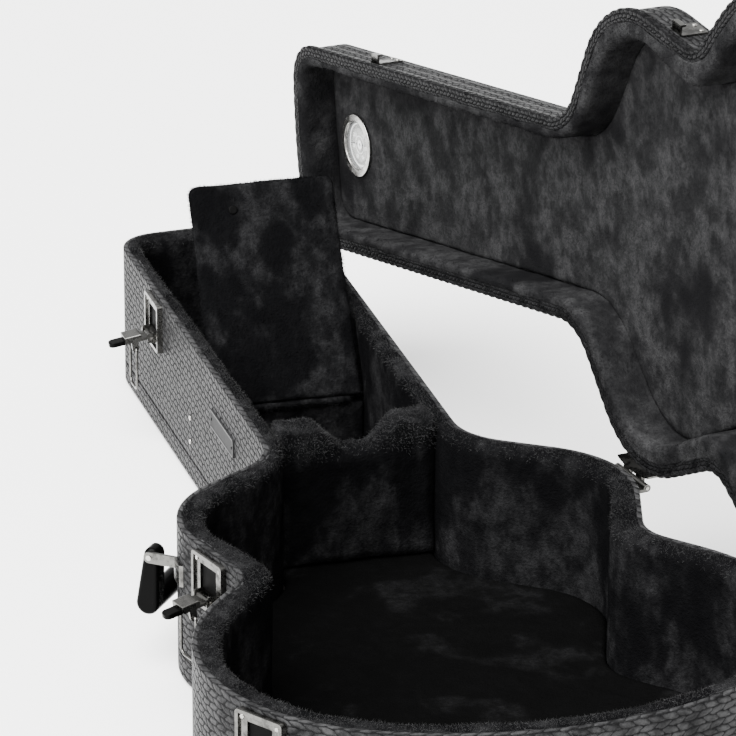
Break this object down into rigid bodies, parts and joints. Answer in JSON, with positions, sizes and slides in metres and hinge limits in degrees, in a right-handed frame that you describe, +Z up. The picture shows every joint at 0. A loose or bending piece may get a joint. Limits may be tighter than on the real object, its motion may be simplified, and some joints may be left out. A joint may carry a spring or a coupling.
{
  "type": "classical guitar case",
  "caption": "Hardshell case for a classical guitar: guitar-shaped plywood tray with plush lining, hinged lid, latches, handle, neck cradle, accessory flap and hygrometer.",
  "frame": {"origin": "middle of the flat underside of the case, on the floor", "axes": "+X towards the hinge side, +Y towards the head end, +Z up"},
  "size_m": [0.5574, 1.0958, 0.59],
  "materials": {
    "vinyl": "embossed black vinyl covering",
    "bottom_vinyl": "plain black vinyl",
    "plywood": "raw plywood",
    "plush": "black crushed plush",
    "binding": "black sewn binding",
    "nickel": "nickel plated steel, lightly tarnished",
    "pin_steel": "turned steel",
    "dark_pin": "blackened steel",
    "dark_plate": "dark nickel",
    "handle_plastic": "moulded black plastic",
    "gauge_metal": "polished bezel",
    "gauge_case": "dark painted cup",
    "dial_white": "white enamelled dial",
    "needle_black": "black painted needle",
    "lens": "clear lens"
  },
  "bodies": {
    "base": {"bottom_cover": "bottom_vinyl", "bottom_panel": "plywood", "side_wall": "plywood", "wall_cover": "vinyl", "side_padding": "plush", "floor_padding": "plush", "neck_cradle": "plush", "compartment_wall": "plush", "flap_hinge_roll": "plush", "wall_nails": "nickel", "name_plate": "dark_plate", "name_plate_pins": "dark_pin", "lever_pins": "pin_steel", "latch_rivets": "nickel", "handle_straps": "nickel", "handle_pins": "pin_steel", "hinge_base_leaves": "nickel", "hinge_pins": "pin_steel", "hinge_rivets": "nickel", "latch_backs": "dark_pin", "latch_plate_head": "nickel", "latch_plate_waist": "nickel", "latch_plate_lower": "nickel"},
    "lid": {"lid_top_cover": "vinyl", "lid_panel": "plywood", "lid_wall": "plywood", "lid_wall_cover": "vinyl", "lid_side_padding": "plush", "lid_ceiling_padding": "plush", "lid_binding": "binding", "gauge_cup": "gauge_case", "gauge_dial": "dial_white", "gauge_lens": "lens", "gauge_bezel": "gauge_metal", "hinge_lid_leaves": "nickel", "lid_hinge_rivets": "nickel", "keeper_rivets": "nickel", "keeper_head": "nickel", "keeper_waist": "nickel", "keeper_lower": "nickel"},
    "flap": {"flap_board": "plywood", "flap_plush": "plush", "flap_stud": "nickel"},
    "handle": {"handle_grip": "handle_plastic"},
    "needle": {"gauge_needle": "needle_black"},
    "lever_head": {"latch_lever_head": "nickel", "latch_tab_head": "handle_plastic"},
    "bail_head": {"latch_bail_head": "nickel"},
    "lever_waist": {"latch_lever_waist": "nickel", "latch_tab_waist": "handle_plastic"},
    "bail_waist": {"latch_bail_waist": "nickel"},
    "lever_lower": {"latch_lever_lower": "nickel", "latch_tab_lower": "handle_plastic"},
    "bail_lower": {"latch_bail_lower": "nickel"}
  },
  "joints": [
    {"name": "lid_hinge", "type": "hinge", "parent": "base", "child": "lid", "pos_m": [0.23266, -0.3278, 0.1225], "axis": [-0.1757, 0.9844, 0], "range_deg": [-90.6, 0]},
    {"name": "flap_hinge", "type": "hinge", "parent": "base", "child": "flap", "pos_m": [0, 0.2585, 0.0649], "axis": [-1, 0, 0], "range_deg": [-108, 0]},
    {"name": "lever_head", "type": "hinge", "parent": "base", "child": "lever_head", "pos_m": [-0.09337, 0.37941, 0.094], "axis": [-0.0132, 0.9999, 0], "range_deg": [0, 99]},
    {"name": "bail_head", "type": "hinge", "parent": "lever_head", "child": "bail_head", "pos_m": [-0.10709, 0.37923, 0.08474], "axis": [-0.0132, 0.9999, 0], "range_deg": [-8, 94.5]},
    {"name": "lever_waist", "type": "hinge", "parent": "base", "child": "lever_waist", "pos_m": [-0.18105, -0.17146, 0.094], "axis": [-0.2793, 0.9602, 0], "range_deg": [0, 99]},
    {"name": "bail_waist", "type": "hinge", "parent": "lever_waist", "child": "bail_waist", "pos_m": [-0.19422, -0.17529, 0.08474], "axis": [-0.2793, 0.9602, 0], "range_deg": [-8, 94.5]},
    {"name": "lever_lower", "type": "hinge", "parent": "base", "child": "lever_lower", "pos_m": [-0.21173, -0.44935, 0.094], "axis": [-0.5506, 0.8347, 0], "range_deg": [0, 99]},
    {"name": "bail_lower", "type": "hinge", "parent": "lever_lower", "child": "bail_lower", "pos_m": [-0.22319, -0.45691, 0.08474], "axis": [-0.5506, 0.8347, 0], "range_deg": [-8, 94.5]},
    {"name": "handle_swing", "type": "hinge", "parent": "base", "child": "handle", "pos_m": [-0.17485, -0.05204, 0.0965], "axis": [0.6156, 0.7881, 0], "range_deg": [0, 115]},
    {"name": "gauge_needle", "type": "hinge", "parent": "lid", "child": "needle", "pos_m": [0.13005, 0.48971, 0.21153], "axis": [-0.9844, -0.1757, 0.0105], "range_deg": [-60, 60], "stiffness_Nm_per_rad": 0.0005}
  ],
  "couplings": [
    {"joint": "flap_hinge", "follows": "lid_hinge", "ratio": 1.1921}
  ]
}
